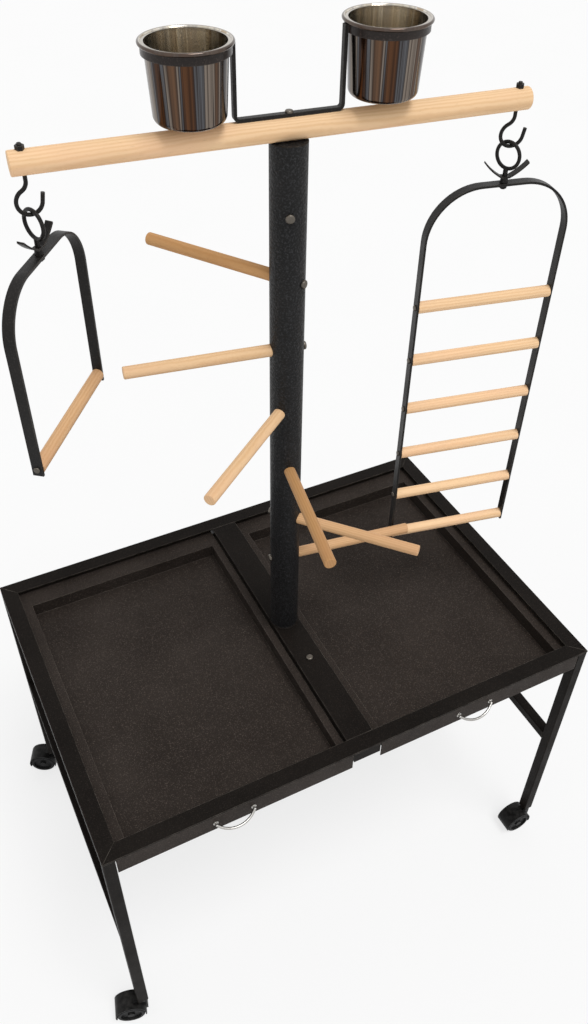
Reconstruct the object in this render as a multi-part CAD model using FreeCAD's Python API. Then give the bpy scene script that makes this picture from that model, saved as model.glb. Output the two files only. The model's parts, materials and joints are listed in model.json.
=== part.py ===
import FreeCAD, Part
import math
import os

V = FreeCAD.Vector

# Parrot play stand on casters. Millimetres, +Z up. The long side of the table runs along X and
# the trays pull out toward -Y. Everything is laid out round the post's axis, then moved once so
# that the origin is on the floor at the middle of the whole stand's outline.

# ---- table frame: angle iron at the sides and rear, a flat bar across the front --------
table_width = 813.0
table_depth = 551.0
table_height = 536.0
rail_flange = 25.0
rail_height = 22.0
rail_wall = 3.0
leg_size = 18.0
leg_wall = 1.5
leg_corner_radius = 2.0
stretcher_top = 296.0          # top face of the side stretchers above the floor
centre_x = -2.5                # the beam and post stand a little off the table's middle
centre_y = 1.5
beam_width = 44.0
beam_height = 22.0
beam_wall = 2.0

# ---- trays, folded sheet, slid in from the front under the flat bar --------------------
tray_sheet = 1.2
tray_rim_drop = 10.0           # the rim's top under the frame's top
tray_floor_drop = 34.0         # the floor's top under the frame's top
tray_pan_inner_gap = 14.0      # pan's inside face from the beam
tray_pan_outer_gap = 22.0      # pan's outside face from the legs
tray_pan_rear_gap = 55.5       # pan's rear face from the table's rear
tray_beam_gap = 2.0
tray_leg_gap = 0.8
tray_bar_gap = 0.5
tray_rear_gap = 2.5
runner_wall = 2.0
outer_runner_ledge = 32.5      # from the side rail's upright inward
inner_runner_ledge = 11.0
runner_leg = 10.5
rest_gap = 0.3                 # between a piece that moves and what it rests on

# ---- tray pulls, chromed wire ----------------------------------------------------------
pull_wire = 4.0
pull_length = 58.0
pull_reach = 17.5              # from the front panel to the bow's furthest point, along the droop
pull_droop = 42.0              # degrees below level
pull_drop = 19.0               # its ends under the frame's top
pull_shift_left = 9.0          # each pull sits this far toward -X of its tray's middle
pull_shift_right = 16.0
pull_washer = 8.0
pull_washer_thickness = 0.8
pull_tail = 3.0

# ---- post ------------------------------------------------------------------------------
post_diameter = 44.0
post_wall = 2.0
post_height = 784.3            # tube above the table's top
cap_thickness = 2.0
sleeve_length = 100.0
sleeve_wall = 2.0
fit_gap = 0.1                  # fixed pieces that slide into each other, on the radius
screw_height = 707.0           # the sleeve's screw above the table's top
screw_azimuth = -110.5

# ---- wooden perches --------------------------------------------------------------------
main_perch_diameter = 25.4
main_perch_length = 591.0
main_perch_azimuth = -6.0
perch_diameter = 16.0
perch_end_round = 1.5
perch_1_height = 620.0         # above the table's top
perch_2_height = 524.0
perch_3_height = 434.0
perch_4_height = 336.0
perch_5_height = 235.0
perch_6_height = 150.0
perch_1_reach = 206.0          # from the post's axis to the tip
perch_2_reach = 209.0
perch_3_reach = 212.0
perch_4_reach = 208.0
perch_5_reach = 205.0
perch_6_reach = 204.0
perch_azimuths = (123.3, 170.2, 218.1, 259.3, 312.1, 351.2)

# ---- pan head bolts --------------------------------------------------------------------
bolt_diameter = 6.0
bolt_head_diameter = 11.0
bolt_head_height = 3.5
bolt_grip = 35.0               # length that goes into a perch
beam_screw_offset = 91.5       # screw in the beam, in front of the post's axis
beam_screw_length = 14.0
screw_past_wall = 4.0           # screws reach this far past the last sheet
bolt_past_nut = 2.0
perch_end_play = 1.0            # a bolt hole is this much deeper than its bolt

# ---- cup bracket, rings and cups -------------------------------------------------------
bracket_width = 7.0
bracket_thickness = 4.0
bracket_bend = 5.0             # bend radius on the bar's middle line
bracket_bolt_diameter = 4.0
bracket_bolt_head = 9.0
bracket_bolt_head_height = 2.5
bracket_nut_flats = 7.0
bracket_nut_height = 3.2
cup_spacing = 216.0            # between the two cups' axes
cup_rim_height = 895.5         # middle of the left cup's rolled rim above the table's top
right_cup_rise = 3.5           # the bracket's right arm is this much longer
cup_rim_radius = 46.0
cup_bead = 2.0
cup_top_radius = 42.4
cup_base_radius = 38.4
cup_corner = 8.0
cup_depth = 76.5
cup_wall = 1.2
ring_gap = 0.9                 # ring to cup wall, on the radius
ring_thickness = 2.0
ring_band = 8.0

# ---- hooks and hangers -----------------------------------------------------------------
hook_end_gap = 13.5            # from the main perch's end to the hook's axis
hook_wire = 4.5
hook_loop_radius = 13.5
hook_loop_drop = 28.0          # loop's centre under the perch
hook_neck = 6.0
hook_tip = 10.0
hook_tip_angle = -10.0
hook_thread = 6.5              # shank above the perch
hook_nut_flats = 8.5
hook_nut_height = 4.5
eye_radius = 15.75
eye_wire = 4.5
eye_play = 0.35
eye_shank = 6.0
turn_gap = 0.1                 # running fit of the bow on the eye bolt's shank
hanger_drop = 85.6             # from the perch's underside to the strap's top
wing_span = 54.0
wing_rise = 17.5
wing_width = 9.0
wing_thickness = 2.2
wing_hub_diameter = 10.0
wing_hub_height = 7.0
lock_nut_flats = 9.0
lock_nut_height = 3.0
shank_end = 1.5

strap_width = 13.0
strap_thickness = 3.0
swing_half_width = 100.0
swing_corner = 56.0            # bend radius on the strap's middle line
ladder_half_width = 98.0
ladder_corner = 68.0
rung_diameter = 16.0
rung_strap_end = 9.0           # strap under the middle of the lowest rung
rung_screw = 4.0
rung_screw_head = 8.0
rung_screw_head_height = 2.2
rung_screw_length = 22.0
swing_dowel_drop = 302.7       # under the main perch's underside
ladder_first_rung = 129.0
ladder_rungs = 6
ladder_pitch = 82.2

swing_hook_azimuth = 0.0
swing_eye_azimuth = 22.0       # the eye's normal
swing_wing_azimuth = 42.0
swing_azimuth = 51.8
ladder_hook_azimuth = -20.0
ladder_eye_azimuth = 20.0
ladder_wing_azimuth = -18.0
ladder_azimuth = -11.5

# ---- twin wheel casters ----------------------------------------------------------------
wheel_radius = 23.8
wheel_width = 10.0
wheel_edge = 3.0
wheel_dish = 3.0
wheel_dish_radius = 17.5
wheel_hub_radius = 6.0
caster_trail = 21.4
caster_height = 54.0           # floor to the underside of the leg
caster_web = 11.0
caster_side_gap = 0.5
hood_gap = 0.7
hood_wall = 1.8
hood_low = 17.0                # lower edge of the hood above the floor
boss_diameter = 15.0
boss_height = 6.0
stem_diameter = 8.0
stem_depth = 22.0
axle_diameter = 6.0
running_gap = 0.1
collar_diameter = 13.0
collar_height = 2.0
plug_depth = 20.0
caster_swivels = {"front_left": -15.3, "front_right": 0.0, "rear_left": -25.3, "rear_right": 0.0}

# ---- places worked out from the sizes above --------------------------------------------
half_width = table_width / 2
half_depth = table_depth / 2
top = table_height
leg_inner_x = half_width - leg_size
leg_inner_y = half_depth - leg_size
leg_axis_x = half_width - leg_size / 2
leg_axis_y = half_depth - leg_size / 2
flange_inner_y = half_depth - rail_flange
beam_half = beam_width / 2
perch_heights = (perch_1_height, perch_2_height, perch_3_height, perch_4_height, perch_5_height,
                 perch_6_height)
perch_reaches = (perch_1_reach, perch_2_reach, perch_3_reach, perch_4_reach, perch_5_reach,
                 perch_6_reach)

tray_x1 = leg_inner_x - tray_leg_gap
tray_pan_outer_x = leg_inner_x - tray_pan_outer_gap
tray_pan_rear_y = half_depth - tray_pan_rear_gap
outer_runner_edge_x = half_width - rail_wall - outer_runner_ledge
tray_front = -half_depth
tray_rear = half_depth - rail_wall - tray_rear_gap
tray_front_top = top - rail_wall - tray_bar_gap
tray_rim_top = top - tray_rim_drop
tray_low = top - tray_floor_drop - tray_sheet
runner_top = tray_rim_top - tray_sheet - rest_gap

hook_offset = main_perch_length / 2 - hook_end_gap
perch_low = top + post_height + cap_thickness + fit_gap
perch_axis = perch_low + main_perch_diameter / 2
perch_high = perch_low + main_perch_diameter

hook_bottom = perch_low - hook_loop_drop - hook_loop_radius
eye_top = hook_bottom + (hook_wire + eye_wire) / 2 + eye_play
eye_centre = eye_top - eye_radius
strap_top = perch_low - hanger_drop
stem_low = caster_height - stem_depth


# ---- plain helpers ---------------------------------------------------------------------
def box(x, y, z):
    return Part.makeBox(x[1] - x[0], y[1] - y[0], z[1] - z[0], V(x[0], y[0], z[0]))


def rod(radius, start, end):
    return Part.makeCylinder(radius, (end - start).Length, start, end - start)


def tube(outer, inner, z0, z1, x=0.0, y=0.0):
    base = V(x, y, z0)
    return Part.makeCylinder(outer, z1 - z0, base).cut(Part.makeCylinder(inner, z1 - z0, base))


def polygon(points):
    return Part.Face(Part.makePolygon(list(points) + [points[0]]))


def turned(shape, angle, x=0.0, y=0.0):
    out = shape.copy()
    out.rotate(V(0, 0, 0), V(0, 0, 1), angle)
    out.translate(V(x, y, 0))
    return out


def placed(shape, x, y):
    out = shape.copy()
    out.translate(V(x, y, 0))
    return out


def mirrored_x(shape):
    return shape.mirror(V(0, 0, 0), V(1, 0, 0))


def along(distance, azimuth, z=0.0):
    a = math.radians(azimuth)
    return V(distance * math.cos(a), distance * math.sin(a), z)


def rounded_square(size, radius, z0, z1):
    block = box((-size / 2, size / 2), (-size / 2, size / 2), (z0, z1))
    edges = [e for e in block.Edges if abs(e.Vertexes[0].Z - e.Vertexes[1].Z) > 1e-6]
    return block.makeFillet(radius, edges)


def square_tube(size, wall, radius, z0, z1):
    inner = rounded_square(size - 2 * wall, max(radius - wall, 0.3), z0, z1)
    return rounded_square(size, radius, z0, z1).cut(inner)


def hex_nut(flats, height, bore, z0):
    radius = flats / math.sqrt(3)
    corners = [V(radius * math.cos(math.radians(60 * i)), radius * math.sin(math.radians(60 * i)), z0)
               for i in range(6)]
    body = polygon(corners).extrude(V(0, 0, height))
    return body.cut(Part.makeCylinder(bore, height, V(0, 0, z0)))


def line(a, b):
    return Part.LineSegment(a, b).toShape()


def arc(a, middle, b):
    return Part.Arc(a, middle, b).toShape()


def swept_rod(edges, radius):
    path = Part.Wire(edges)
    first = path.Edges[0]
    start = first.valueAt(first.FirstParameter)
    heading = first.tangentAt(first.FirstParameter)
    ring = Part.Wire(Part.makeCircle(radius, start, heading))
    return path.makePipeShell([ring], True, False)


def pan_head_bolt(length, diameter, head_diameter, head_height):
    """Bolt along +X, the underside of its head at x = 0."""
    head = Part.makeCylinder(head_diameter / 2, head_height, V(0, 0, 0), V(-1, 0, 0))
    rim = [e for e in head.Edges if abs(e.BoundBox.XMax + head_height) < 1e-6]
    head = head.makeFillet(head_height * 0.6, rim)
    return head.fuse(rod(diameter / 2, V(-head_height / 2, 0, 0), V(length, 0, 0))).removeSplitter()


# ---- table frame -----------------------------------------------------------------------
def frame_bar(length, upright):
    """Mitred bar along +X, its width toward +Y, top on z = 0; the upright fits between legs."""
    outline = polygon([V(0, 0, -rail_wall), V(length, 0, -rail_wall),
                       V(length - rail_flange, rail_flange, -rail_wall),
                       V(rail_flange, rail_flange, -rail_wall)])
    bar = outline.extrude(V(0, 0, rail_wall))
    if upright:
        bar = bar.fuse(box((leg_size, length - leg_size), (0, rail_wall), (-rail_height, 0)))
    return bar.removeSplitter()


def frame_rails():
    flat = frame_bar(table_width, False)
    flat.translate(V(-half_width, -half_depth, top))
    long_angle = frame_bar(table_width, True)
    long_angle.translate(V(-half_width, -half_depth, top))
    short_angle = frame_bar(table_depth, True)
    short_angle.translate(V(-half_depth, -half_width, top))
    return {
        "front_rail": flat,
        "rear_rail": turned(long_angle, 180),
        "side_rail_right": turned(short_angle, 90),
        "side_rail_left": turned(short_angle, -90),
    }


def leg(x, y):
    post = square_tube(leg_size, leg_wall, leg_corner_radius, caster_height, top - rail_wall)
    post.translate(V(x, y, 0))
    return post


def side_stretcher(side):
    bar = square_tube(leg_size, leg_wall, leg_corner_radius, -leg_inner_y, leg_inner_y)
    bar.rotate(V(0, 0, 0), V(1, 0, 0), 90)
    bar.translate(V(side * leg_axis_x, 0, stretcher_top - leg_size / 2))
    return bar


def centre_beam():
    """Closed box beam, let in under the front bar and the rear rail's flange."""
    rear = half_depth - rail_wall
    outer = box((-beam_half, beam_half), (-half_depth, rear), (top - beam_height, top))
    inner = box((-beam_half + beam_wall, beam_half - beam_wall),
                (-half_depth + beam_wall, rear - beam_wall),
                (top - beam_height + beam_wall, top - beam_wall))
    beam = outer.cut(inner)
    for y in ((-half_depth, -flange_inner_y), (flange_inner_y, half_depth)):
        beam = beam.cut(box((-beam_half, beam_half), y, (top - rail_wall, top)))
    y = centre_y - beam_screw_offset
    screw_hole = rod(bolt_diameter / 2 + fit_gap, V(0, y, top - beam_wall), V(0, y, top))
    return placed(beam.cut(screw_hole), centre_x, 0)


def tray_runners(beam_x):
    """Two angles of the right bay: one on the side rail, one on the beam's face at beam_x."""
    ledge_z = (runner_top - runner_wall, runner_top)
    leg_z = (runner_top - runner_leg, runner_top)
    wall_x = half_width - rail_wall
    outer_y = (-leg_inner_y, leg_inner_y)
    outer = box((outer_runner_edge_x, wall_x), outer_y, ledge_z)
    outer = outer.fuse(box((wall_x - runner_wall, wall_x), outer_y, leg_z))
    inner_y = (-flange_inner_y, flange_inner_y)
    inner = box((beam_x, beam_x + inner_runner_ledge), inner_y, ledge_z)
    inner = inner.fuse(box((beam_x, beam_x + runner_wall), inner_y, leg_z))
    return Part.Compound([outer.removeSplitter(), inner.removeSplitter()])


# ---- trays -----------------------------------------------------------------------------
def tray(beam_x, pull_x):
    """Right tray: a shallow pan with a flat rim, closed by a taller front panel."""
    tray_x0 = beam_x + tray_beam_gap
    pan_inner_x = beam_x + tray_pan_inner_gap
    pan_x = (pan_inner_x - tray_sheet, tray_pan_outer_x + tray_sheet)
    pan = box(pan_x, (tray_front, tray_pan_rear_y + tray_sheet), (tray_low, tray_rim_top))
    rim = box((tray_x0, tray_x1), (tray_front, tray_rear), (tray_rim_top - tray_sheet, tray_rim_top))
    hollow = box((pan_inner_x, tray_pan_outer_x), (tray_front + tray_sheet, tray_pan_rear_y),
                 (tray_low + tray_sheet, tray_rim_top))
    front = box((tray_x0, tray_x1), (tray_front, tray_front + tray_sheet), (tray_low, tray_front_top))
    body = pan.fuse(rim).cut(hollow).fuse(front)
    z = top - pull_drop
    for x in (pull_x - pull_length / 2, pull_x + pull_length / 2):
        body = body.cut(rod(pull_wire / 2 + fit_gap, V(x, tray_front, z),
                            V(x, tray_front + tray_sheet, z)))
    return body.removeSplitter()


def tray_pull(pull_x):
    """Bent wire: its ends pass through the front panel, its bow droops toward -Y."""
    x0 = pull_x - pull_length / 2
    x1 = pull_x + pull_length / 2
    z = top - pull_drop
    droop = math.radians(pull_droop)
    out = V(0, -math.cos(droop), -math.sin(droop))
    start = V(x0, tray_front - pull_wire, z)
    end = V(x1, tray_front - pull_wire, z)
    furthest = (start + end) * 0.5 + out * (pull_reach - pull_wire)
    wire = swept_rod([arc(start, furthest, end)], pull_wire / 2)
    for knee in (start, end):
        tail = rod(pull_wire / 2, knee, V(knee.x, tray_front + tray_sheet + pull_tail, z))
        washer = rod(pull_washer / 2, V(knee.x, tray_front - pull_washer_thickness, z),
                     V(knee.x, tray_front, z))
        wire = wire.fuse(tail).fuse(Part.makeSphere(pull_wire / 2, knee)).fuse(washer)
    return wire.removeSplitter()


# ---- post and radial perches -----------------------------------------------------------
def bolt_hole(azimuth, z, reach):
    return rod(bolt_diameter / 2 + fit_gap, along(-reach, azimuth, z), along(reach, azimuth, z))


def post_tube():
    radius = post_diameter / 2
    body = tube(radius, radius - post_wall, top, top + post_height)
    for height, azimuth in zip(perch_heights, perch_azimuths):
        body = body.cut(bolt_hole(azimuth, top + height, radius))
    return body.cut(sleeve_screw_hole())


def sleeve_screw_hole():
    radius = post_diameter / 2
    z = top + screw_height
    return rod(bolt_diameter / 2 + fit_gap, V(0, 0, z), along(radius, screw_azimuth, z))


def post_cap():
    """Flat cap with a long sleeve inside the tube."""
    radius = post_diameter / 2
    sleeve = radius - post_wall - fit_gap
    z = top + post_height
    cap = Part.makeCylinder(radius, cap_thickness, V(0, 0, z))
    body = cap.fuse(tube(sleeve, sleeve - sleeve_wall, z - sleeve_length, z)).removeSplitter()
    body = body.cut(Part.makeCylinder(bracket_bolt_diameter / 2 + fit_gap, cap_thickness, V(0, 0, z)))
    return body.cut(sleeve_screw_hole())


def radial_perch(height, azimuth, reach):
    z = top + height
    radius = post_diameter / 2
    wood = rod(perch_diameter / 2, V(radius / 2, 0, z), V(reach, 0, z))
    tip = [e for e in wood.Edges if e.BoundBox.XMin > reach - 0.01]
    wood = wood.makeFillet(perch_end_round, tip)
    wood = wood.cut(Part.makeCylinder(radius + fit_gap, 2 * perch_diameter, V(0, 0, z - perch_diameter)))
    wood = wood.cut(rod(bolt_diameter / 2 + fit_gap, V(0, 0, z), V(radius + bolt_grip + perch_end_play, 0, z)))
    return turned(wood, azimuth)


def pan_head_bolts():
    """Six perch bolts through the post, the sleeve's screw and the beam's screw."""
    radius = post_diameter / 2
    bolts = []
    for height, azimuth in zip(perch_heights, perch_azimuths):
        bolt = pan_head_bolt(post_diameter + bolt_grip, bolt_diameter, bolt_head_diameter,
                             bolt_head_height)
        bolt.translate(V(-radius, 0, top + height))
        bolts.append(turned(bolt, azimuth))
    screw_length = post_wall + fit_gap + sleeve_wall + screw_past_wall
    sleeve_screw = pan_head_bolt(screw_length, bolt_diameter, bolt_head_diameter, bolt_head_height)
    sleeve_screw.translate(V(-radius, 0, top + screw_height))
    bolts.append(turned(sleeve_screw, screw_azimuth + 180))
    beam_screw = pan_head_bolt(beam_screw_length, bolt_diameter, bolt_head_diameter, bolt_head_height)
    beam_screw.rotate(V(0, 0, 0), V(0, 1, 0), 90)
    beam_screw.translate(V(0, -beam_screw_offset, top))
    bolts.append(beam_screw)
    return Part.Compound(bolts)


# ---- main perch and cup bracket --------------------------------------------------------
def main_perch():
    """Modelled along X, turned into place at the end."""
    half = main_perch_length / 2
    wood = rod(main_perch_diameter / 2, V(-half, 0, perch_axis), V(half, 0, perch_axis))
    ends = [e for e in wood.Edges if e.BoundBox.XLength < 0.01]
    wood = wood.makeFillet(perch_end_round, ends)
    holes = ((0.0, bracket_bolt_diameter), (hook_offset, hook_wire), (-hook_offset, hook_wire))
    for x, diameter in holes:
        wood = wood.cut(rod(diameter / 2 + fit_gap, V(x, 0, perch_low), V(x, 0, perch_high)))
    return turned(wood, main_perch_azimuth)


def strap_along(edges, width, thickness):
    """Flat bar swept along a path in the XZ plane, its width along Y."""
    path = Part.Wire(edges)
    first = path.Edges[0]
    start = first.valueAt(first.FirstParameter)
    heading = first.tangentAt(first.FirstParameter)
    side = heading.cross(V(0, 1, 0)) * (thickness / 2)
    wide = V(0, width / 2, 0)
    section = Part.makePolygon([start - side - wide, start + side - wide, start + side + wide,
                                start - side + wide, start - side - wide])
    return path.makePipeShell([section], True, False)


def ring_outer():
    return cup_top_radius + ring_gap + ring_thickness


def cup_rise(side):
    return right_cup_rise if side > 0 else 0.0


def ring_top(side):
    return top + cup_rim_height + cup_rise(side) - cup_bead - rest_gap


def cup_bracket():
    """Bent bar: flat on the perch, an arm up to each ring."""
    middle = cup_spacing / 2 - ring_outer() - bracket_thickness / 2
    low = perch_high + bracket_thickness / 2
    r = bracket_bend
    k = r * (1 - math.sqrt(0.5))
    left = -middle
    edges = [line(V(left, 0, ring_top(-1)), V(left, 0, low + r)),
             arc(V(left, 0, low + r), V(left + k, 0, low + k), V(left + r, 0, low)),
             line(V(left + r, 0, low), V(middle - r, 0, low)),
             arc(V(middle - r, 0, low), V(middle - k, 0, low + k), V(middle, 0, low + r)),
             line(V(middle, 0, low + r), V(middle, 0, ring_top(1)))]
    bar = strap_along(edges, bracket_width, bracket_thickness)
    hole = Part.makeCylinder(bracket_bolt_diameter / 2 + fit_gap, bracket_thickness,
                             V(0, 0, perch_high))
    return turned(bar.cut(hole), main_perch_azimuth)


def cup_ring(side):
    inner = cup_top_radius + ring_gap
    high = ring_top(side)
    band = tube(ring_outer(), inner, high - ring_band, high, x=side * cup_spacing / 2)
    return turned(band, main_perch_azimuth)


def bracket_bolt():
    """Bolt down through bar, perch and cap, with its nut under the cap."""
    head_seat = perch_high + bracket_thickness
    nut_high = top + post_height
    length = head_seat - nut_high + bracket_nut_height + bolt_past_nut
    bolt = pan_head_bolt(length, bracket_bolt_diameter, bracket_bolt_head, bracket_bolt_head_height)
    bolt.rotate(V(0, 0, 0), V(0, 1, 0), 90)
    bolt.translate(V(0, 0, head_seat))
    nut = hex_nut(bracket_nut_flats, bracket_nut_height, bracket_bolt_diameter / 2 + fit_gap,
                  nut_high - bracket_nut_height)
    return Part.Compound([bolt, nut])


def cup(side):
    """Turned steel cup with a rounded base, a slight taper and a rolled rim."""
    rim_z = top + cup_rim_height + cup_rise(side)
    low = rim_z - cup_depth
    flat = cup_base_radius - cup_corner
    k = cup_corner * (1 - math.sqrt(0.5))
    w = cup_wall

    def section(offset, z_top):
        base = cup_base_radius - offset
        corner = cup_corner - offset
        c = V(flat, 0, low + cup_corner)
        s = corner * math.sqrt(0.5)
        return [line(V(0, 0, low + offset), V(flat, 0, low + offset)),
                arc(V(flat, 0, low + offset), c + V(s, 0, -s), V(base, 0, low + cup_corner)),
                line(V(base, 0, low + cup_corner), V(cup_top_radius - offset, 0, z_top)),
                line(V(cup_top_radius - offset, 0, z_top), V(0, 0, z_top)),
                line(V(0, 0, z_top), V(0, 0, low + offset))]

    outer = Part.Face(Part.Wire(section(0, rim_z))).revolve(V(0, 0, 0), V(0, 0, 1), 360)
    inner = Part.Face(Part.Wire(section(w, rim_z))).revolve(V(0, 0, 0), V(0, 0, 1), 360)
    body = outer.cut(inner)
    lip = tube(cup_rim_radius, cup_top_radius - w, rim_z - w / 2, rim_z + w / 2)
    bead = Part.makeTorus(cup_rim_radius, cup_bead, V(0, 0, rim_z))
    body = body.fuse(lip).fuse(bead).removeSplitter()
    body.translate(V(side * cup_spacing / 2, 0, 0))
    return turned(body, main_perch_azimuth)


# ---- hooks -----------------------------------------------------------------------------
def hook_shape():
    """S hook with a threaded shank, in the XZ plane, its shank on the Z axis."""
    loop = V(0, 0, perch_low - hook_loop_drop)
    rise = hook_loop_drop - hook_neck
    neck_radius = (rise ** 2 - hook_loop_radius ** 2) / (2 * hook_loop_radius)
    neck = V(-neck_radius, 0, perch_low - hook_neck)
    slope = math.atan2(rise, neck_radius)
    join = neck + V(math.cos(slope), 0, -math.sin(slope)) * neck_radius
    neck_mid = neck + V(math.cos(slope / 2), 0, -math.sin(slope / 2)) * neck_radius
    tip_angle = math.radians(hook_tip_angle)
    loop_end = loop + V(math.cos(tip_angle), 0, math.sin(tip_angle)) * hook_loop_radius
    sweep_mid = (math.pi - slope + 2 * math.pi + tip_angle) / 2
    loop_mid = loop + V(math.cos(sweep_mid), 0, math.sin(sweep_mid)) * hook_loop_radius
    tip = loop_end + V(-math.sin(tip_angle), 0, math.cos(tip_angle)) * hook_tip
    start = V(0, 0, perch_high + hook_thread)
    neck_top = V(0, 0, perch_low - hook_neck)
    return swept_rod([line(start, neck_top), arc(neck_top, neck_mid, join),
                      arc(join, loop_mid, loop_end), line(loop_end, tip)], hook_wire / 2)


def at_hook(shape, side, azimuth=0.0):
    place = along(side * hook_offset, main_perch_azimuth)
    return turned(shape, azimuth, place.x, place.y)


def hook_nuts():
    nut = hex_nut(hook_nut_flats, hook_nut_height, hook_wire / 2 + fit_gap, perch_high)
    return Part.Compound([at_hook(nut, side, main_perch_azimuth) for side in (-1, 1)])


def eye_bolt():
    """Closed eye on a shank, the eye's normal along X."""
    eye = Part.makeTorus(eye_radius, eye_wire / 2, V(0, 0, eye_centre), V(1, 0, 0))
    low = strap_top - strap_thickness - rest_gap - lock_nut_height - shank_end
    shank = Part.makeCylinder(eye_shank / 2, eye_centre - eye_radius - low, V(0, 0, low))
    return eye.fuse(shank).removeSplitter()


def wing_nut():
    """Hub with two swept-up wings along X."""
    base = strap_top + rest_gap
    root = base + wing_hub_height
    half = wing_span / 2
    shape = []
    for side in (-1, 1):
        path = [line(V(0, 0, root), V(side * wing_hub_diameter / 2, 0, root)),
                arc(V(side * wing_hub_diameter / 2, 0, root),
                    V(side * half * 0.55, 0, root + wing_rise * 0.36),
                    V(side * half, 0, root + wing_rise))]
        shape.append(strap_along(path, wing_width, wing_thickness))
    hub = Part.makeCone(wing_hub_diameter / 2, wing_hub_diameter * 0.42, wing_hub_height, V(0, 0, base))
    body = hub.fuse(shape[0]).fuse(shape[1])
    bore = Part.makeCylinder(eye_shank / 2 + fit_gap, wing_hub_height + wing_thickness, V(0, 0, base))
    return body.cut(bore).removeSplitter()


def lock_nut():
    z0 = strap_top - strap_thickness - rest_gap - lock_nut_height
    return hex_nut(lock_nut_flats, lock_nut_height, eye_shank / 2 + fit_gap, z0)


def arch(low, half_width, r):
    """Flat bar bent over the top, both sides straight down to the height low."""
    half = half_width - strap_thickness / 2
    z = strap_top - strap_thickness / 2
    k = r * (1 - math.sqrt(0.5))
    edges = [line(V(-half, 0, low), V(-half, 0, z - r)),
             arc(V(-half, 0, z - r), V(-half + k, 0, z - k), V(-half + r, 0, z)),
             line(V(-half + r, 0, z), V(half - r, 0, z)),
             arc(V(half - r, 0, z), V(half - k, 0, z - k), V(half, 0, z - r)),
             line(V(half, 0, z - r), V(half, 0, low))]
    bar = strap_along(edges, strap_width, strap_thickness)
    return bar.cut(Part.makeCylinder(eye_shank / 2 + turn_gap, strap_thickness,
                                     V(0, 0, strap_top - strap_thickness)))


def hanger_bar(heights, half_width, corner):
    bar = arch(min(heights) - rung_strap_end, half_width, corner)
    for z in heights:
        bar = bar.cut(rod(rung_screw / 2 + fit_gap, V(-half_width, 0, z), V(half_width, 0, z)))
    return bar


def rung(z, half_width):
    half = half_width - strap_thickness
    wood = rod(rung_diameter / 2, V(-half, 0, z), V(half, 0, z))
    for side in (-1, 1):
        inner = half - (rung_screw_length - strap_thickness) - perch_end_play
        wood = wood.cut(rod(rung_screw / 2 + fit_gap, V(side * half, 0, z), V(side * inner, 0, z)))
    return wood


def rung_screws(heights, half_width):
    screws = []
    for z in heights:
        screw = pan_head_bolt(rung_screw_length, rung_screw, rung_screw_head, rung_screw_head_height)
        screw.translate(V(-half_width, 0, z))
        screws.append(screw)
        screws.append(turned(screw, 180))
    return screws


def compound_at_hook(shapes, side, azimuth):
    return Part.Compound([at_hook(s, side, azimuth) for s in shapes])


# ---- casters ---------------------------------------------------------------------------
def caster_stem():
    """Plug in the leg's foot, collar and stem, on the Z axis."""
    plug = leg_size - 2 * leg_wall - 2 * fit_gap
    body = rounded_square(plug, 0.5, caster_height, caster_height + plug_depth)
    collar = Part.makeCylinder(collar_diameter / 2, caster_height - boss_top() - rest_gap,
                               V(0, 0, boss_top() + rest_gap))
    stem = Part.makeCylinder(stem_diameter / 2, stem_depth, V(0, 0, stem_low))
    return body.fuse(collar).fuse(stem).removeSplitter()


def boss_top():
    return caster_height - collar_height + rest_gap


def hood_radius():
    return wheel_radius + hood_gap + hood_wall


def caster_housing():
    """Hood over both wheels, centre web and stem boss; the axle trails toward -X."""
    axle = V(-caster_trail, 0, wheel_radius)
    width = caster_web + 2 * (caster_side_gap + wheel_width)

    def disc(radius, span):
        return Part.makeCylinder(radius, span, axle - V(0, span / 2, 0), V(0, 1, 0))

    hood = disc(hood_radius(), width).cut(disc(wheel_radius + hood_gap, width))
    below = box((-caster_trail - 2 * wheel_radius, 2 * wheel_radius), (-width, width),
                (-hood_radius(), hood_low))
    web = disc(wheel_radius + hood_gap, caster_web)
    front = box((-caster_trail, boss_diameter / 2), (-caster_web / 2, caster_web / 2),
                (hood_low, boss_top() - boss_height / 2))
    boss = Part.makeCylinder(boss_diameter / 2, boss_height, V(0, 0, boss_top() - boss_height))
    low_web = box((-caster_trail - 2 * wheel_radius, 2 * wheel_radius), (-width, width),
                  (-hood_radius(), wheel_radius - axle_diameter))
    body = hood.cut(below).fuse(web.cut(low_web)).fuse(front).fuse(boss)
    body = body.cut(disc(axle_diameter / 2 + running_gap, width))
    bore = Part.makeCylinder(stem_diameter / 2 + running_gap, stem_depth + 1, V(0, 0, stem_low - 1))
    return body.cut(bore).removeSplitter()


def caster_wheels():
    """Two wheels with rounded treads and dished faces, and their axle."""
    start = caster_web / 2 + caster_side_gap
    pieces = []
    for side in (-1, 1):
        direction = V(0, side, 0)
        inner = V(-caster_trail, side * start, wheel_radius)
        outer = V(-caster_trail, side * (start + wheel_width), wheel_radius)
        wheel = Part.makeCylinder(wheel_radius, wheel_width, inner, direction)
        wheel = wheel.makeFillet(wheel_edge, [e for e in wheel.Edges if e.BoundBox.YLength < 0.01])
        dish = Part.makeCylinder(wheel_dish_radius, wheel_dish, outer, direction * -1)
        dish = dish.cut(Part.makeCylinder(wheel_hub_radius, wheel_dish, outer, direction * -1))
        bore = Part.makeCylinder(axle_diameter / 2, wheel_width - wheel_dish, inner, direction)
        pieces.append(wheel.cut(dish).cut(bore))
    reach = start + wheel_width - wheel_dish
    pieces.append(rod(axle_diameter / 2, V(-caster_trail, -reach, wheel_radius),
                      V(-caster_trail, reach, wheel_radius)))
    return Part.Compound(pieces)


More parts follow.
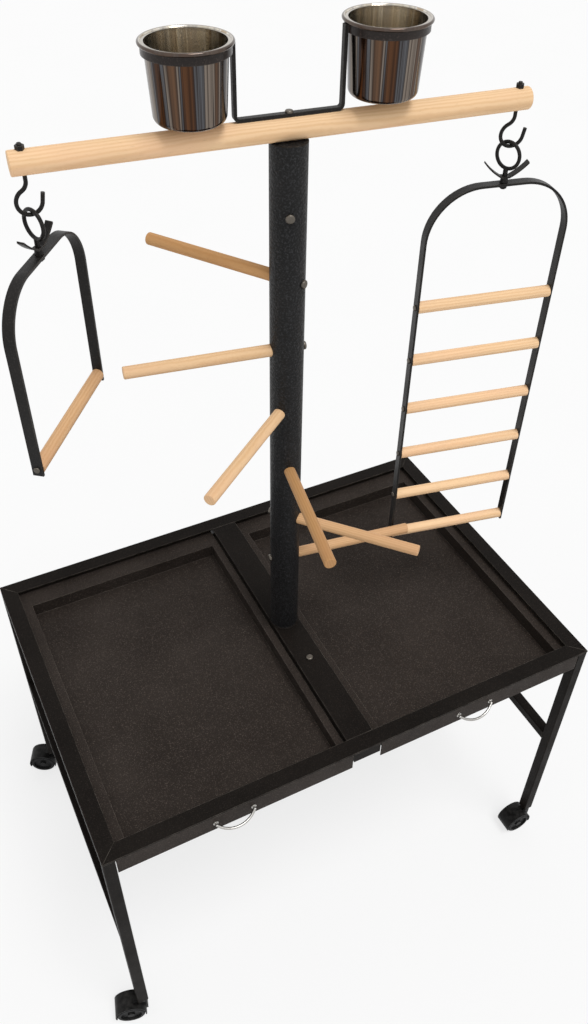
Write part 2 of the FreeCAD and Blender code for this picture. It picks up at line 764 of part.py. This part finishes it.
# ---- the whole stand -------------------------------------------------------------------
def corners():
    return {"front_left": (-leg_axis_x, -leg_axis_y), "front_right": (leg_axis_x, -leg_axis_y),
            "rear_left": (-leg_axis_x, leg_axis_y), "rear_right": (leg_axis_x, leg_axis_y)}


def table_nodes():
    nodes = frame_rails()
    for name, (x, y) in corners().items():
        nodes["leg_" + name] = leg(x, y)
    nodes["side_stretcher_left"] = side_stretcher(-1)
    nodes["side_stretcher_right"] = side_stretcher(1)
    nodes["centre_beam"] = centre_beam()
    for name, side, pull_shift in (("right", 1, -pull_shift_right), ("left", -1, pull_shift_left)):
        beam_x = beam_half + side * centre_x
        pull_x = (beam_x + tray_beam_gap + tray_x1) / 2 + pull_shift
        bay = {"tray_runners_": tray_runners(beam_x), "tray_": tray(beam_x, pull_x),
               "tray_pull_": tray_pull(pull_x)}
        for prefix, shape in bay.items():
            nodes[prefix + name] = shape if side > 0 else mirrored_x(shape)
    return nodes


def post_nodes():
    nodes = {"post_tube": post_tube(), "post_cap_sleeve": post_cap(),
             "pan_head_bolts": pan_head_bolts(), "main_perch": main_perch()}
    for number, place in enumerate(zip(perch_heights, perch_azimuths, perch_reaches), start=1):
        nodes["perch_%d" % number] = radial_perch(*place)
    return nodes


def cup_nodes():
    nodes = {"cup_bracket": cup_bracket(), "bracket_bolt": bracket_bolt()}
    for name, side in (("left", -1), ("right", 1)):
        nodes["cup_ring_" + name] = cup_ring(side)
        nodes["cup_" + name] = cup(side)
    return nodes


def hanging_nodes():
    swing = [perch_low - swing_dowel_drop]
    ladder = [top + ladder_first_rung + ladder_pitch * i for i in range(ladder_rungs)]
    nodes = {"hook_left": at_hook(hook_shape(), -1, swing_hook_azimuth),
             "hook_right": at_hook(hook_shape(), 1, ladder_hook_azimuth),
             "hook_nuts": hook_nuts(),
             "swing_dowel": at_hook(rung(swing[0], swing_half_width), -1, swing_azimuth),
             "ladder_rungs": compound_at_hook([rung(z, ladder_half_width) for z in ladder], 1,
                                              ladder_azimuth)}
    hangers = (("swing", -1, swing_eye_azimuth, swing_wing_azimuth, swing_azimuth, swing,
                swing_half_width),
               ("ladder", 1, ladder_eye_azimuth, ladder_wing_azimuth, ladder_azimuth, ladder,
                ladder_half_width))
    for name, side, eye, wing, bar, heights, half_width in hangers:
        nodes[name + "_eye_bolt"] = at_hook(eye_bolt(), side, eye)
        nodes[name + "_wing_nut"] = at_hook(wing_nut(), side, wing)
        nodes[name + "_lock_nut"] = at_hook(lock_nut(), side, wing)
        nodes[name + "_screws"] = compound_at_hook(rung_screws(heights, half_width), side, bar)
    nodes["swing_bow"] = at_hook(hanger_bar(swing, swing_half_width, swing_corner), -1, swing_azimuth)
    nodes["ladder_frame"] = at_hook(hanger_bar(ladder, ladder_half_width, ladder_corner), 1,
                                    ladder_azimuth)
    return nodes


def caster_nodes():
    nodes = {}
    stems = []
    for name, (x, y) in corners().items():
        angle = caster_swivels[name]
        stems.append(placed(caster_stem(), x, y))
        nodes["caster_housing_" + name] = turned(caster_housing(), angle, x, y)
        nodes["caster_wheels_" + name] = turned(caster_wheels(), angle, x, y)
    nodes["caster_stems"] = Part.Compound(stems)
    return nodes


def caster_reach(name):
    """How far a caster's hood reaches from its leg's axis toward -X and toward the rear."""
    angle = math.radians(-caster_swivels[name])
    half = caster_web / 2 + caster_side_gap + wheel_width
    length = caster_trail * math.cos(angle) + hood_radius() * math.cos(angle)
    breadth = caster_trail * math.sin(angle) + hood_radius() * math.sin(angle)
    return length + half * math.sin(angle), breadth + half * math.cos(angle)


def outline_middle():
    """Middle of the stand's outline: casters reach furthest left and rear, pulls to the front."""
    left = -leg_axis_x - max(caster_reach("front_left")[0], caster_reach("rear_left")[0])
    rear = leg_axis_y + max(caster_reach("rear_left")[1], caster_reach("rear_right")[1])
    bow = (pull_reach - pull_wire) * math.cos(math.radians(pull_droop))
    front = tray_front - pull_wire - bow - pull_wire / 2
    return (left + half_width) / 2, (front + rear) / 2


def main():
    os.makedirs("parts", exist_ok=True)
    middle_x, middle_y = outline_middle()
    nodes = table_nodes()
    nodes.update(caster_nodes())
    for group in (post_nodes, cup_nodes, hanging_nodes):
        for name, shape in group().items():
            nodes[name] = placed(shape, centre_x, centre_y)
    for name, shape in sorted(nodes.items()):
        shape = placed(shape, -middle_x, -middle_y)
        shape.exportStep("parts/%s.step" % name)
        bb = shape.BoundBox
        print("%-30s solids %2d valid %s volume %9.0f  x %.1f %.1f  y %.1f %.1f  z %.1f %.1f"
              % (name, len(shape.Solids), shape.isValid(), shape.Volume, bb.XMin, bb.XMax, bb.YMin,
                 bb.YMax, bb.ZMin, bb.ZMax))
    print(len(nodes), "nodes")


main()
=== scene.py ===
import json
import math

import bpy
from mathutils import Matrix, Vector

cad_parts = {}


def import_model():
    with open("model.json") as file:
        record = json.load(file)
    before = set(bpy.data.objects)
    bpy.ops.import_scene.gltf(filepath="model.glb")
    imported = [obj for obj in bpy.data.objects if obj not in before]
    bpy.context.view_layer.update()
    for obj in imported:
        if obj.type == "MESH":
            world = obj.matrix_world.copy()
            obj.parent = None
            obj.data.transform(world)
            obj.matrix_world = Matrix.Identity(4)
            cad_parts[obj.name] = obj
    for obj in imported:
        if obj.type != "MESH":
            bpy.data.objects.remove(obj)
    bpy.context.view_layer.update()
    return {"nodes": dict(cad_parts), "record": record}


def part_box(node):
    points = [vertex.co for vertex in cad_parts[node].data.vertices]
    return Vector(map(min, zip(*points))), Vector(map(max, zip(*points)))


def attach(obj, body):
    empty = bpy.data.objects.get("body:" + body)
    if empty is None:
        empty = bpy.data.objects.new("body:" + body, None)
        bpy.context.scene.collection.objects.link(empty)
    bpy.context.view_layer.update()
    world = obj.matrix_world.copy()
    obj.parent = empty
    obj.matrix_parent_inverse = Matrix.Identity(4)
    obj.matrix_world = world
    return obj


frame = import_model()
nodes = frame["nodes"]


# ---- node helpers ----------------------------------------------------------------------
class Tree:
    """A material's node tree with short calls for the nodes used here."""

    def __init__(self, name):
        self.material = bpy.data.materials.new(name)
        self.material.use_nodes = True
        self.nodes = self.material.node_tree.nodes
        self.links = self.material.node_tree.links
        self.bsdf = self.nodes["Principled BSDF"]

    def new(self, kind, inputs=None, **settings):
        node = self.nodes.new(kind)
        for key, value in settings.items():
            setattr(node, key, value)
        for key, value in (inputs or {}).items():
            self.put(node.inputs[key], value)
        return node

    def put(self, socket, value):
        if isinstance(value, bpy.types.NodeSocket):
            self.links.new(value, socket)
        else:
            socket.default_value = value

    def coords(self):
        return self.new("ShaderNodeTexCoord").outputs["Object"]

    def mapped(self, vector, scale=(1, 1, 1), rotation=(0, 0, 0), location=(0, 0, 0)):
        return self.new("ShaderNodeMapping", {"Vector": vector, "Scale": scale, "Rotation": rotation,
                                              "Location": location}).outputs[0]

    def noise(self, vector, scale, detail=3.0, rough=0.5):
        return self.new("ShaderNodeTexNoise", {"Vector": vector, "Scale": scale, "Detail": detail,
                                               "Roughness": rough}).outputs["Fac"]

    def cells(self, vector, scale):
        return self.new("ShaderNodeTexVoronoi", {"Vector": vector, "Scale": scale},
                        feature="F1").outputs["Distance"]

    def ramp(self, factor, stops):
        node = self.new("ShaderNodeValToRGB", {"Fac": factor})
        elements = node.color_ramp.elements
        while len(elements) < len(stops):
            elements.new(0.5)
        for element, (place, colour) in zip(elements, stops):
            element.position = place
            value = (colour,) * 3 if isinstance(colour, (int, float)) else colour
            element.color = (*value, 1.0)
        return node.outputs["Color"]

    def math(self, operation, a, b=0.0):
        node = self.new("ShaderNodeMath", operation=operation)
        self.put(node.inputs[0], a)
        self.put(node.inputs[1], b)
        return node.outputs[0]

    def mix(self, factor, a, b, blend="MIX"):
        node = self.new("ShaderNodeMix", data_type="RGBA", blend_type=blend)
        self.put(node.inputs["Factor"], factor)
        self.put(node.inputs[6], a if isinstance(a, bpy.types.NodeSocket) else (*a, 1.0))
        self.put(node.inputs[7], b if isinstance(b, bpy.types.NodeSocket) else (*b, 1.0))
        return node.outputs[2]

    def bump(self, height, strength, distance, normal=None):
        node = self.new("ShaderNodeBump", {"Height": height, "Strength": strength, "Distance": distance})
        if normal is not None:
            self.links.new(normal, node.inputs["Normal"])
        return node.outputs["Normal"]

    def rounded(self, radius):
        return self.new("ShaderNodeBevel", {"Radius": radius}, samples=6).outputs[0]

    def edge(self, radius):
        """1 on sharp outside edges, 0 on flat faces."""
        normal = self.new("ShaderNodeNewGeometry").outputs["Normal"]
        dot = self.new("ShaderNodeVectorMath", operation="DOT_PRODUCT")
        self.links.new(self.rounded(radius), dot.inputs[0])
        self.links.new(normal, dot.inputs[1])
        return self.math("SUBTRACT", 1.0, dot.outputs["Value"])

    def finish(self, colour, roughness, normal, metallic=0.0, specular=0.5):
        self.put(self.bsdf.inputs["Base Color"], colour)
        self.put(self.bsdf.inputs["Roughness"], roughness)
        self.put(self.bsdf.inputs["Normal"], normal)
        self.bsdf.inputs["Metallic"].default_value = metallic
        self.bsdf.inputs["Specular IOR Level"].default_value = specular
        return self.material


# ---- materials -------------------------------------------------------------------------
def powder_coat(name, dark, light, scale, roughness, wear_and_highlight, bump=0.25, specular=0.16):
    """Powder coat: orange peel, uneven tone, and thin light edges that are partly worn paint and partly a
    painted highlight.
    """
    t = Tree(name)
    at = t.coords()
    tone = t.ramp(t.noise(at, 9.0, 4.0, 0.6), [(0.3, dark), (0.72, light)])
    fleck = t.ramp(t.noise(at, 700.0, 2.0), [(0.56, 0.0), (0.70, 1.0)])
    tone = t.mix(t.math("MULTIPLY", fleck, 0.6), tone, [min(1.0, c * 3.4) for c in light])
    # Light edge colour: partly worn paint, partly a painted highlight along the edges.
    worn_edge_and_highlight = t.math("MULTIPLY", t.edge(0.0018), t.ramp(t.noise(at, 60.0, 4.0), [(0.35, 0.2), (0.65, 1.0)]))
    tone = t.mix(t.math("MULTIPLY", worn_edge_and_highlight, wear_and_highlight), tone, (0.33, 0.29, 0.25))
    rough = t.ramp(t.noise(at, 25.0, 3.0), [(0.3, roughness - 0.07), (0.7, roughness + 0.08)])
    normal = t.bump(t.noise(at, scale, 2.0, 0.55), bump, 0.0004, t.rounded(0.0009))
    return t.finish(tone, rough, normal, specular=specular)


def hammertone():
    """Post paint: dimpled cells with grey flecks between them."""
    t = Tree("hammertone_black")
    at = t.coords()
    cell = t.cells(at, 330.0)
    fleck = t.ramp(t.noise(at, 430.0, 3.0, 0.7), [(0.50, 0.0), (0.66, 1.0)])
    tone = t.ramp(t.noise(at, 14.0, 3.0), [(0.3, (0.0055, 0.0055, 0.0058)), (0.7, (0.010, 0.0095, 0.0095))])
    tone = t.mix(t.math("MULTIPLY", fleck, 0.55), tone, (0.055, 0.056, 0.060))
    rough = t.ramp(cell, [(0.0, 0.34), (0.8, 0.52)])
    normal = t.bump(cell, 0.6, 0.0009, t.rounded(0.0009))
    return t.finish(tone, rough, normal, specular=0.18)


def beech(name, node, azimuth, tint):
    """Beech dowel cut beside the pith: rings show as streaks on its side and arcs on its ends."""
    t = Tree(name)
    middle = centre_of(node)
    centred = t.mapped(t.coords(), location=[-c for c in middle])
    local = t.mapped(centred, rotation=(0, 0, math.radians(-azimuth)))
    drift = t.noise(t.mapped(local, scale=(2.6, 22.0, 22.0), location=middle), 1.0, 3.0)
    offset = t.new("ShaderNodeCombineXYZ")
    t.links.new(t.math("MULTIPLY", drift, 0.016), offset.inputs[1])
    t.links.new(t.math("MULTIPLY", drift, 0.011), offset.inputs[2])
    warped = t.new("ShaderNodeVectorMath", operation="ADD")
    t.links.new(t.mapped(local, location=(0, 0.055 + 0.02 * math.sin(azimuth), 0.021)), warped.inputs[0])
    t.links.new(offset.outputs[0], warped.inputs[1])
    rings = t.new("ShaderNodeTexWave", {"Vector": warped.outputs[0], "Scale": 85.0, "Distortion": 1.1,
                                        "Detail": 2.0}, wave_type="RINGS", rings_direction="X")
    light = [min(1.0, c * 1.05) for c in tint]
    deep = [c * k for c, k in zip(tint, (0.95, 0.90, 0.84))]
    tone = t.mix(t.ramp(rings.outputs["Fac"], [(0.2, 0.0), (0.95, 1.0)]), light, deep)
    rosy = t.ramp(t.noise(t.mapped(local, scale=(7.0, 30.0, 30.0), location=middle), 1.0, 2.0),
                  [(0.45, 0.0), (0.68, 1.0)])
    tone = t.mix(t.math("MULTIPLY", rosy, 0.5), tone, [c * k for c, k in zip(tint, (1.04, 0.92, 0.97))])
    fibre = t.noise(t.mapped(local, scale=(40.0, 900.0, 900.0)), 1.0, 3.0, 0.6)
    tone = t.mix(t.math("MULTIPLY", t.ramp(fibre, [(0.45, 0.0), (0.7, 1.0)]), 0.22), tone, deep)
    rays = t.noise(t.mapped(local, scale=(130.0, 1500.0, 1500.0)), 1.0, 1.0)
    tone = t.mix(t.math("MULTIPLY", t.ramp(rays, [(0.66, 0.0), (0.74, 1.0)]), 0.28), tone,
                 [c * 0.6 for c in deep])
    worn = t.ramp(t.noise(t.mapped(local, scale=(12.0, 26.0, 26.0)), 1.0, 4.0), [(0.5, 0.0), (0.75, 1.0)])
    tone = t.mix(t.math("MULTIPLY", worn, 0.14), tone, [c * 0.72 for c in tint])
    ends = t.math("MULTIPLY", t.edge(0.0016), 0.55)
    tone = t.mix(ends, tone, [c * 0.62 for c in tint])
    rough = t.ramp(fibre, [(0.3, 0.50), (0.7, 0.66)])
    normal = t.bump(fibre, 0.22, 0.0003, t.rounded(0.0008))
    return t.finish(tone, rough, normal, specular=0.22)


def mirror_steel(name, node):
    """Polished, spun steel: broad streaks of painted reflection run down the wall, a paler painted
    reflection lies inside and on level faces, fine turning lines round it.
    """
    t = Tree(name)
    middle = centre_of(node)
    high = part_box(node)[1][2]
    local = t.mapped(t.coords(), location=(-middle[0], -middle[1], 0))
    split = t.new("ShaderNodeSeparateXYZ", {"Vector": local})
    angle = t.math("ARCTAN2", split.outputs[1], split.outputs[0])
    around = t.new("ShaderNodeCombineXYZ")
    t.links.new(t.math("COSINE", angle), around.inputs[0])
    t.links.new(t.math("SINE", angle), around.inputs[1])
    t.links.new(t.math("MULTIPLY", split.outputs[2], 0.22), around.inputs[2])
    wide = t.noise(around.outputs[0], 2.3, 1.2, 0.5)
    fine = t.noise(around.outputs[0], 11.0, 2.0, 0.6)
    both = t.math("ADD", t.math("MULTIPLY", wide, 0.80), t.math("MULTIPLY", fine, 0.20))
    # Banded painted reflection: dark and light streaks round the wall stand in for the surroundings
    # mirrored in the steel.
    tone = t.ramp(both, [(0.34, (0.022, 0.014, 0.012)), (0.41, (0.105, 0.050, 0.026)),
                         (0.455, (0.024, 0.018, 0.017)), (0.50, (0.105, 0.108, 0.116)),
                         (0.535, (0.030, 0.024, 0.022)), (0.565, (0.22, 0.185, 0.155)),
                         (0.595, (0.045, 0.032, 0.026)), (0.68, (0.13, 0.074, 0.045))])
    normal_now = t.new("ShaderNodeNewGeometry").outputs["Normal"]
    facing = t.new("ShaderNodeVectorMath", operation="DOT_PRODUCT")
    t.links.new(normal_now, facing.inputs[0])
    t.links.new(t.mapped(local, scale=(24.0, 24.0, 0.0)), facing.inputs[1])
    inner_wall = t.ramp(facing.outputs["Value"], [(0.0, 1.0), (0.02, 0.0)])
    # Paler painted reflection on the inner wall, in bands.
    pale = t.ramp(both, [(0.36, (0.46, 0.39, 0.30)), (0.46, (0.80, 0.75, 0.65)), (0.52, (0.54, 0.51, 0.47)),
                         (0.60, (0.90, 0.86, 0.78)), (0.68, (0.58, 0.47, 0.34))])
    tone = t.mix(inner_wall, tone, pale)
    level = t.math("ABSOLUTE", t.new("ShaderNodeSeparateXYZ", {"Vector": normal_now}).outputs[2])
    # Level faces, such as the floor and the rim top, get a pale painted reflection.
    level_painted_reflection = t.ramp(t.noise(t.mapped(local, scale=(30, 30, 0)), 1.0, 2.0),
                    [(0.35, (0.46, 0.42, 0.36)), (0.65, (0.60, 0.56, 0.50))])
    tone = t.mix(t.ramp(level, [(0.75, 0.0), (0.95, 1.0)]), tone, level_painted_reflection)
    # Darker painted reflection on the outside of the rim's top band.
    rim_painted_reflection = t.math("GREATER_THAN", split.outputs[2], high - 0.0042)
    outside = t.math("SUBTRACT", 1.0, t.math("MULTIPLY", inner_wall, 0.8))
    tone = t.mix(t.math("MULTIPLY", rim_painted_reflection, t.math("MULTIPLY", outside, 0.85)), tone, (0.095, 0.072, 0.060))
    lines = t.noise(t.mapped(local, scale=(3, 3, 2600)), 1.0, 1.0)
    normal = t.bump(lines, 0.05, 0.0001)
    rough = t.ramp(fine, [(0.3, 0.11), (0.7, 0.20)])
    return t.finish(tone, rough, normal, metallic=1.0)


def metal(name, colour, roughness, scratch=0.12):
    t = Tree(name)
    at = t.coords()
    stain = t.ramp(t.noise(at, 70.0, 4.0), [(0.35, 0.78), (0.7, 1.0)])
    tone = t.mix(1.0, colour, stain, "MULTIPLY")
    rough = t.ramp(t.noise(at, 300.0, 3.0), [(0.3, max(0.04, roughness - 0.06)), (0.7, roughness + 0.10)])
    normal = t.bump(t.noise(at, 1100.0, 2.0), scratch, 0.0002, t.rounded(0.0004))
    return t.finish(tone, rough, normal, metallic=1.0)


def moulded(name, colour, roughness, scale):
    """Moulded black plastic with a fine grain and dust on its upper faces."""
    t = Tree(name)
    at = t.coords()
    up = t.new("ShaderNodeSeparateXYZ", {"Vector": t.new("ShaderNodeNewGeometry").outputs["Normal"]})
    dust = t.math("MULTIPLY", t.ramp(up.outputs[2], [(0.3, 0.0), (1.0, 1.0)]),
                  t.ramp(t.noise(at, 130.0, 4.0), [(0.4, 0.0), (0.8, 0.30)]))
    tone = t.mix(dust, colour, (0.09, 0.085, 0.08))
    rough = t.ramp(t.noise(at, 90.0, 3.0), [(0.3, roughness - 0.06), (0.7, roughness + 0.1)])
    normal = t.bump(t.noise(at, scale, 2.0), 0.15, 0.0003, t.rounded(0.0012))
    return t.finish(tone, rough, normal, specular=0.10)


def centre_of(node):
    low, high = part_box(node)
    return [(a + b) / 2 for a, b in zip(low, high)]


# Per-perch tints are painted light and shade on one beech: perch_1 and perch_4 are tinted darker as painted
# shade, the main perch and ladder rungs take the paler painted-lit tint, and the rest lie in between.
wood_painted_lit = (0.89, 0.61, 0.36)
wood_warm = (0.665, 0.41, 0.215)
wood_tan = (0.78, 0.525, 0.30)
wood_painted_shade = (0.59, 0.325, 0.135)
wood_painted_deep_shade = (0.475, 0.265, 0.112)
wood = {"main_perch": (-6.0, wood_painted_lit), "perch_1": (123.3, wood_painted_shade), "perch_2": (170.2, wood_tan),
        "perch_3": (218.1, wood_tan), "perch_4": (259.3, wood_painted_deep_shade), "perch_5": (312.1, wood_warm),
        "perch_6": (351.2, wood_warm), "swing_dowel": (51.8, wood_warm), "ladder_rungs": (-11.5, wood_painted_lit)}


def materials():
    made = {}
    frame_paint = powder_coat("powder_black", (0.0068, 0.0056, 0.0048), (0.0120, 0.0098, 0.0084), 700, 0.46,
                               1.0, 0.25, 0.04)
    tray_paint = powder_coat("powder_tray", (0.0225, 0.0177, 0.0150), (0.0350, 0.0280, 0.0240), 820, 0.44,
                             0.9, 0.22, 0.045)
    iron = powder_coat("black_iron", (0.0075, 0.0070, 0.0068), (0.0150, 0.0135, 0.0125), 1100, 0.40, 0.7,
                       0.35, 0.16)
    rings = powder_coat("ring_paint", (0.0120, 0.0088, 0.0078), (0.0250, 0.0180, 0.0155), 900, 0.30,
                        0.5, 0.2, 0.22)
    by_slot = {"frame_paint": frame_paint, "tray_paint": tray_paint, "black_iron": iron,
               "hammertone_paint": hammertone(),
               "screw_steel": metal("plated_screw", (0.155, 0.138, 0.118), 0.42),
               "pull_chrome": metal("chromed_wire", (0.50, 0.485, 0.46), 0.27, 0.03),
               "stem_steel": metal("zinc_stem", (0.5, 0.5, 0.5), 0.36),
               "caster_plastic": moulded("caster_hood", (0.0055, 0.0053, 0.0052), 0.36, 1300),
               "wheel_plastic": moulded("caster_tread", (0.0075, 0.0075, 0.0078), 0.48, 900)}
    for entry in frame["record"]["subparts"]:
        node, slot = entry["node"], entry["material_slot"]
        if node in wood:
            made[node] = beech("beech_" + node, node, *wood[node])
        elif node.startswith("cup_ring"):
            made[node] = rings
        elif slot == "cup_steel":
            made[node] = mirror_steel("mirror_" + node, node)
        else:
            made[node] = by_slot[slot]
    return made


dressed = materials()
for name, material in dressed.items():
    for slot in nodes[name].material_slots:
        slot.material = material


# ---- added pieces ----------------------------------------------------------------------
def piece(name, data, material, body="stand"):
    obj = bpy.data.objects.new(name, data)
    data.materials.append(material)
    bpy.context.collection.objects.link(obj)
    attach(obj, body)
    return obj


def bead_mesh(name, points, closed, radius):
    """Weld bead: a ring of overlapping ripples along a path."""
    count = len(points)
    sides = 8
    verts = []
    for i, centre in enumerate(points):
        after = points[(i + 1) % count] if closed or i < count - 1 else centre
        before = points[i - 1] if closed or i > 0 else centre
        ahead = (after - before).normalized()
        across = ahead.cross(Vector((0, 0, 1)))
        if across.length < 0.01:
            across = ahead.cross(Vector((0, 1, 0)))
        across.normalize()
        above = across.cross(ahead)
        ripple = radius * (1.0 + 0.16 * math.sin(i * 2.1) + 0.06 * math.sin(i * 0.7))
        if not closed and i in (0, count - 1):
            ripple *= 0.3
        for k in range(sides):
            a = 2 * math.pi * k / sides
            verts.append(centre + (across * math.cos(a) + above * math.sin(a)) * ripple)
    faces = []
    for i in range(count if closed else count - 1):
        j = (i + 1) % count
        for k in range(sides):
            m = (k + 1) % sides
            faces.append((i * sides + k, i * sides + m, j * sides + m, j * sides + k))
    if not closed:
        faces.append(tuple(reversed(range(sides))))
        faces.append(tuple(range((count - 1) * sides, count * sides)))
    mesh = bpy.data.meshes.new(name)
    mesh.from_pydata([tuple(v) for v in verts], [], faces)
    mesh.shade_smooth()
    return mesh


def post_weld():
    """Bead round the post's foot on the beam."""
    low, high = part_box("post_tube")
    middle = centre_of("post_tube")
    radius = (high[0] - low[0]) / 2
    count = 120
    points = [Vector((middle[0] + radius * math.cos(2 * math.pi * i / count),
                      middle[1] + radius * math.sin(2 * math.pi * i / count), low[2] + 0.0004))
              for i in range(count)]
    piece("post_weld", bead_mesh("post_weld", points, True, 0.0019), dressed["centre_beam"])


def stretcher_welds():
    """Short beads where the stretchers meet the legs."""
    for name in ("front_left", "front_right", "rear_left", "rear_right"):
        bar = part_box("side_stretcher_" + name.split("_")[1])
        y = bar[0][1] if "front" in name else bar[1][1]
        count = 26
        across = [Vector((bar[0][0] + (bar[1][0] - bar[0][0]) * i / (count - 1), y, bar[1][2]))
                  for i in range(count)]
        label = "stretcher_weld_" + name
        piece(label, bead_mesh(label, across, False, 0.0014), dressed["leg_" + name])


def ring_welds():
    """Bead down the joint of each bracket arm and its ring."""
    for side in ("left", "right"):
        low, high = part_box("cup_ring_" + side)
        hub = Vector(centre_of("cup_ring_" + side))
        post = Vector(centre_of("post_tube"))
        toward = Vector((post.x - hub.x, post.y - hub.y, 0)).normalized()
        along = Vector((-toward.y, toward.x, 0))
        radius = (high[0] - low[0]) / 2
        for k in (-1, 1):
            base = hub + toward * (radius + 0.0001) + along * (0.0036 * k)
            count = 14
            points = [Vector((base.x, base.y, low[2] + (high[2] - low[2]) * i / (count - 1)))
                      for i in range(count)]
            label = "ring_weld_%s_%s" % (side, "a" if k < 0 else "b")
            piece(label, bead_mesh(label, points, False, 0.0008), dressed["cup_ring_left"])


def thread(name, x, y, low, high, radius, pitch, like, body):
    """Helical ridge round an upright shank."""
    turns = (high - low) / pitch
    curve = bpy.data.curves.new(name, "CURVE")
    curve.dimensions = "3D"
    curve.bevel_depth = 0.00022
    curve.bevel_resolution = 1
    count = max(8, int(turns * 14))
    spline = curve.splines.new("POLY")
    spline.points.add(count - 1)
    for i, point in enumerate(spline.points):
        f = i / (count - 1)
        a = 2 * math.pi * turns * f
        point.co = (x + radius * math.cos(a), y + radius * math.sin(a), low + (high - low) * f, 1.0)
    piece(name, curve, dressed[like], body)


def threads():
    for side, hanger in (("left", "swing"), ("right", "ladder")):
        hook_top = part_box("hook_" + side)[1][2]
        x, y, _ = centre_of(hanger + "_lock_nut")
        nut_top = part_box("hook_nuts")[1][2]
        thread("hook_thread_" + side, x, y, nut_top, hook_top - 0.0003, 0.00225, 0.0007, "hook_" + side,
               "stand")
        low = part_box(hanger + "_eye_bolt")[0][2]
        nut_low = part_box(hanger + "_lock_nut")[0][2]
        thread(hanger + "_thread", x, y, low + 0.0003, nut_low, 0.003, 0.001, hanger + "_eye_bolt",
               hanger + "_hanger")


post_weld()
stretcher_welds()
ring_welds()
threads()


# ---- floor, light, camera --------------------------------------------------------------
floor_half_size = 30.0
floor_whitening = 0.74
floor_glow = 0.985
ambient_level = 0.56
sun_direction = (-0.12, 0.34, -0.93)
sun_energy = 1.62
sun_spread = math.radians(24)
camera_azimuth, camera_pitch, camera_roll = (math.radians(a) for a in (27.541, 42.675, 1.087))
camera_lens = 32.58
sensor_size = 36.0
camera_from_rail = (-0.4571, 0.2755 - 0.8988)
camera_height = 1.7058


def seen_directly(tree):
    """1 for camera, glossy and transmission rays, 0 for the light that falls on the object."""
    path = tree.nodes.new("ShaderNodeLightPath")
    seen = path.outputs["Is Camera Ray"]
    for name in ("Is Glossy Ray", "Is Transmission Ray"):
        either = tree.nodes.new("ShaderNodeMath")
        either.operation = "MAXIMUM"
        tree.links.new(seen, either.inputs[0])
        tree.links.new(path.outputs[name], either.inputs[1])
        seen = either.outputs[0]
    return seen


def floor():
    mesh = bpy.data.meshes.new("floor")
    size = floor_half_size
    mesh.from_pydata([(-size, -size, 0), (size, -size, 0), (size, size, 0), (-size, size, 0)], [],
                     [(0, 1, 2, 3)])
    obj = bpy.data.objects.new("floor", mesh)
    bpy.context.collection.objects.link(obj)
    t = Tree("pale_floor")
    tone = t.ramp(t.noise(t.coords(), 2.0, 2.0), [(0.3, 0.885), (0.7, 0.905)])
    t.finish(tone, 0.9, t.bump(t.noise(t.coords(), 400.0), 0.02, 0.0002), specular=0.1)
    white = t.new("ShaderNodeEmission", {"Color": (1, 1, 1, 1), "Strength": floor_glow})
    seen = seen_directly(t.material.node_tree)
    blend = t.new("ShaderNodeMixShader", {"Fac": t.math("MULTIPLY", seen, floor_whitening)})
    t.links.new(t.bsdf.outputs[0], blend.inputs[1])
    t.links.new(white.outputs[0], blend.inputs[2])
    t.links.new(blend.outputs[0], t.nodes["Material Output"].inputs["Surface"])
    mesh.materials.append(t.material)


def light(name, kind, direction, energy, **settings):
    data = bpy.data.lights.new(name, kind)
    data.energy = energy
    for key, value in settings.items():
        setattr(data, key, value)
    obj = bpy.data.objects.new(name, data)
    obj.rotation_euler = Vector(direction).to_track_quat("-Z", "Y").to_euler()
    bpy.context.collection.objects.link(obj)


def world(ambient):
    scene_world = bpy.data.worlds.new("studio")
    bpy.context.scene.world = scene_world
    scene_world.use_nodes = True
    tree = scene_world.node_tree
    tree.nodes.clear()
    level = tree.nodes.new("ShaderNodeMapRange")
    tree.links.new(seen_directly(tree), level.inputs["Value"])
    level.inputs["To Min"].default_value = ambient
    level.inputs["To Max"].default_value = 1.0
    background = tree.nodes.new("ShaderNodeBackground")
    tree.links.new(level.outputs[0], background.inputs["Strength"])
    background.inputs["Color"].default_value = (1, 1, 1, 1)
    out = tree.nodes.new("ShaderNodeOutputWorld")
    tree.links.new(background.outputs[0], out.inputs[0])


def camera():
    ahead = Vector((math.sin(camera_azimuth) * math.cos(camera_pitch),
                    math.cos(camera_azimuth) * math.cos(camera_pitch), -math.sin(camera_pitch)))
    level = Vector((math.cos(camera_azimuth), -math.sin(camera_azimuth), 0))
    above = level.cross(ahead)
    right = level * math.cos(camera_roll) + above * math.sin(camera_roll)
    up = above * math.cos(camera_roll) - level * math.sin(camera_roll)
    data = bpy.data.cameras.new("camera")
    data.sensor_fit = "VERTICAL"
    data.sensor_height = sensor_size
    data.lens = camera_lens
    obj = bpy.data.objects.new("camera", data)
    turn = Matrix((right, up, -ahead)).transposed()
    low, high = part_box("front_rail")
    place = Vector(((low[0] + high[0]) / 2 + camera_from_rail[0], low[1] + camera_from_rail[1],
                    camera_height))
    obj.matrix_world = Matrix.Translation(place) @ turn.to_4x4()
    bpy.context.collection.objects.link(obj)
    bpy.context.scene.camera = obj


floor()
world(ambient_level)
light("key", "SUN", sun_direction, sun_energy, angle=sun_spread)
camera()
bpy.context.scene.view_settings.view_transform = "Standard"
